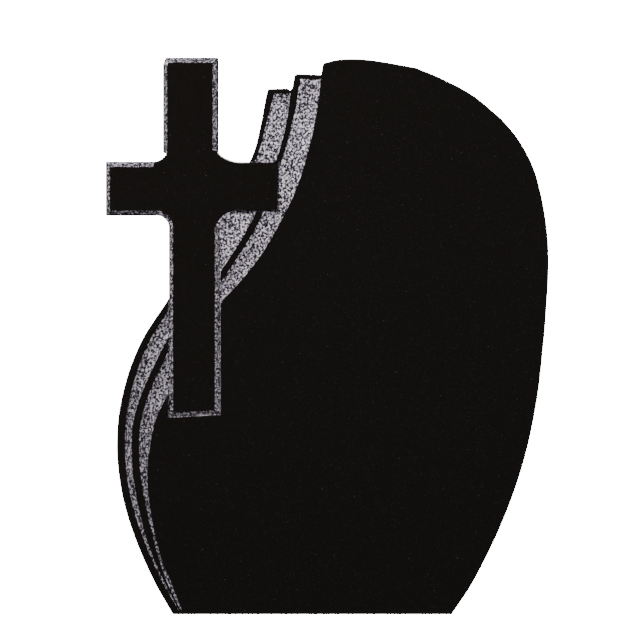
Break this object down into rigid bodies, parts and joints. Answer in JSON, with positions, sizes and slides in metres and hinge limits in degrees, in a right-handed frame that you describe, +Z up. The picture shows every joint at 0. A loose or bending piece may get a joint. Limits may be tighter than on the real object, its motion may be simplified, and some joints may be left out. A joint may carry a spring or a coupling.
{
  "type": "headstone",
  "caption": "Upright slab of black granite with a leaf-shaped outline, a Latin cross in relief at its left and two pecked flutes sweeping down beside it.",
  "frame": {"origin": "on the ground under the middle of the stone: the bottom centre of its bounding box", "axes": "+Z up, -Y towards the viewer of the carved face, +X to the right as seen from the front; the cross stands at -X"},
  "size_m": [0.7954, 0.08, 1],
  "materials": {
    "granite": "mirror-polished black granite, with pecked light grey flutes and a pecked slope round the cross"
  },
  "bodies": {
    "root": {"headstone": "granite"}
  },
  "joints": []
}
